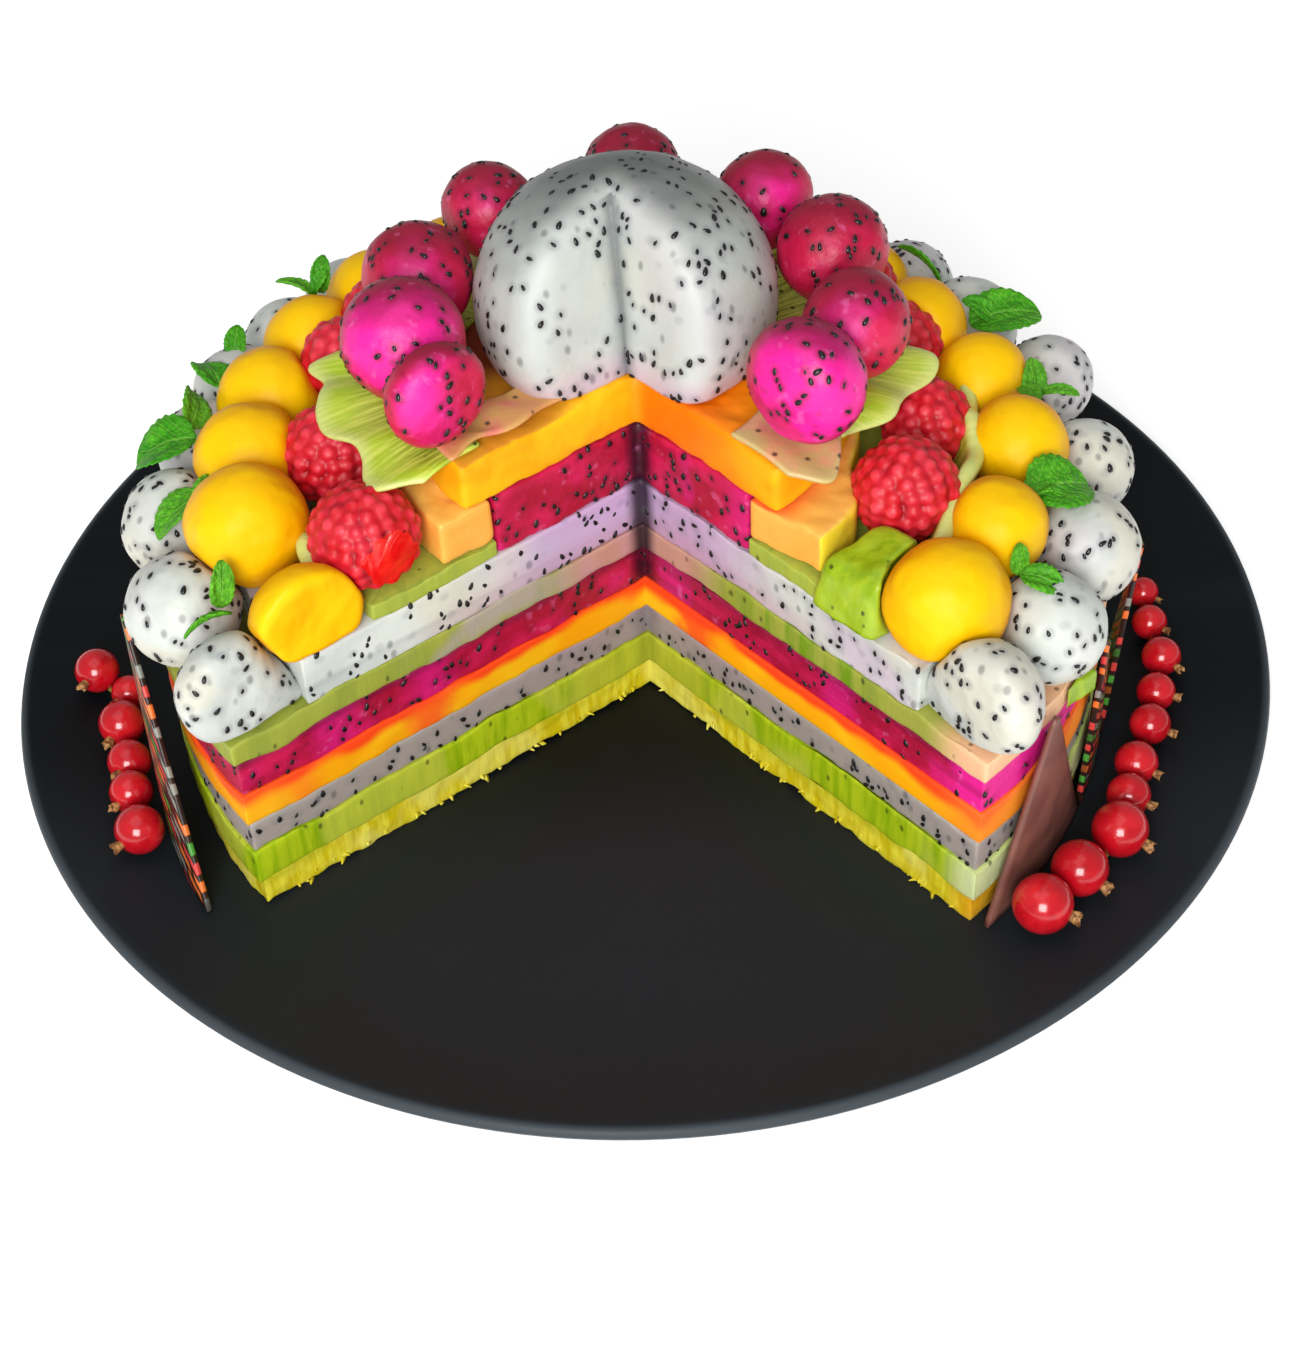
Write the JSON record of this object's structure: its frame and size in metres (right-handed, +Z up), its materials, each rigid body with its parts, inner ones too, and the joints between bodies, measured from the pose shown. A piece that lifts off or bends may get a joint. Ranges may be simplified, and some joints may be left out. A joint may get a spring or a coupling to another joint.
{
  "type": "fruit dome cake",
  "caption": "Round cake built of layered fruit on a flat black plate, with a wedge cut out, rings of fruit balls on each step and a domed top.",
  "frame": {"origin": "under the middle of the plate, at the height of the surface it stands on", "axes": "+Z up; the missing wedge opens towards -Y; +X to the right of someone facing the wedge"},
  "size_m": [0.27, 0.27, 0.1267],
  "materials": {
    "plate_glaze": "satin black glaze on stoneware, with faint smears",
    "pineapple": "wet translucent yellow flesh with fibres",
    "kiwi": "wet translucent green flesh with radial streaks and seeds",
    "white_dragon_fruit": "moist white flesh with black seeds",
    "red_dragon_fruit": "moist magenta flesh with black seeds",
    "mango": "smooth moist yellow to orange flesh",
    "melon": "pale orange moist flesh",
    "raspberry": "red drupelets with a soft sheen",
    "redcurrant": "glossy red translucent skin",
    "mint_leaf": "green veined leaf",
    "chocolate": "dark chocolate with a transfer of coloured dashes"
  },
  "bodies": {
    "root": {"plate": "plate_glaze", "layer_pineapple": "pineapple", "layer_kiwi_low": "kiwi", "layer_white_dragon_low": "white_dragon_fruit", "layer_mango_low": "mango", "layer_red_dragon_low": "red_dragon_fruit", "layer_kiwi_mid": "kiwi", "layer_white_dragon_mid": "white_dragon_fruit", "layer_kiwi_ledge": "kiwi", "layer_melon": "melon", "layer_red_dragon_upper": "red_dragon_fruit", "layer_mango_upper": "mango", "white_ball_1": "white_dragon_fruit", "white_ball_2": "white_dragon_fruit", "white_ball_3": "white_dragon_fruit", "white_ball_4": "white_dragon_fruit", "white_ball_5": "white_dragon_fruit", "white_ball_6": "white_dragon_fruit", "white_ball_7": "white_dragon_fruit", "white_ball_8": "white_dragon_fruit", "white_balls_back": "white_dragon_fruit", "mango_ball_1": "mango", "mango_ball_2": "mango", "mango_ball_3": "mango", "mango_ball_4": "mango", "mango_ball_5": "mango", "mango_ball_6": "mango", "mango_ball_7": "mango", "mango_ball_8": "mango", "mango_balls_back": "mango", "raspberry_1": "raspberry", "raspberry_2": "raspberry", "raspberry_3": "raspberry", "raspberry_4": "raspberry", "raspberry_5": "raspberry", "raspberries_back": "raspberry", "pink_ball_1": "red_dragon_fruit", "pink_ball_2": "red_dragon_fruit", "pink_ball_3": "red_dragon_fruit", "pink_ball_4": "red_dragon_fruit", "pink_ball_5": "red_dragon_fruit", "pink_ball_6": "red_dragon_fruit", "pink_ball_7": "red_dragon_fruit", "pink_ball_8": "red_dragon_fruit", "pink_ball_9": "red_dragon_fruit", "dome_white_dragon": "white_dragon_fruit", "kiwi_slice_left": "kiwi", "kiwi_slice_right": "kiwi", "kiwi_on_ledge": "kiwi", "kiwi_corner": "kiwi", "mint_left": "mint_leaf", "mint_right_back": "mint_leaf", "mint_right_front": "mint_leaf", "chocolate_left": "chocolate", "chocolate_right_front": "chocolate", "chocolate_right_middle": "chocolate", "chocolate_right_back": "chocolate", "redcurrants_left": "redcurrant", "redcurrants_right": "redcurrant"}
  },
  "joints": []
}
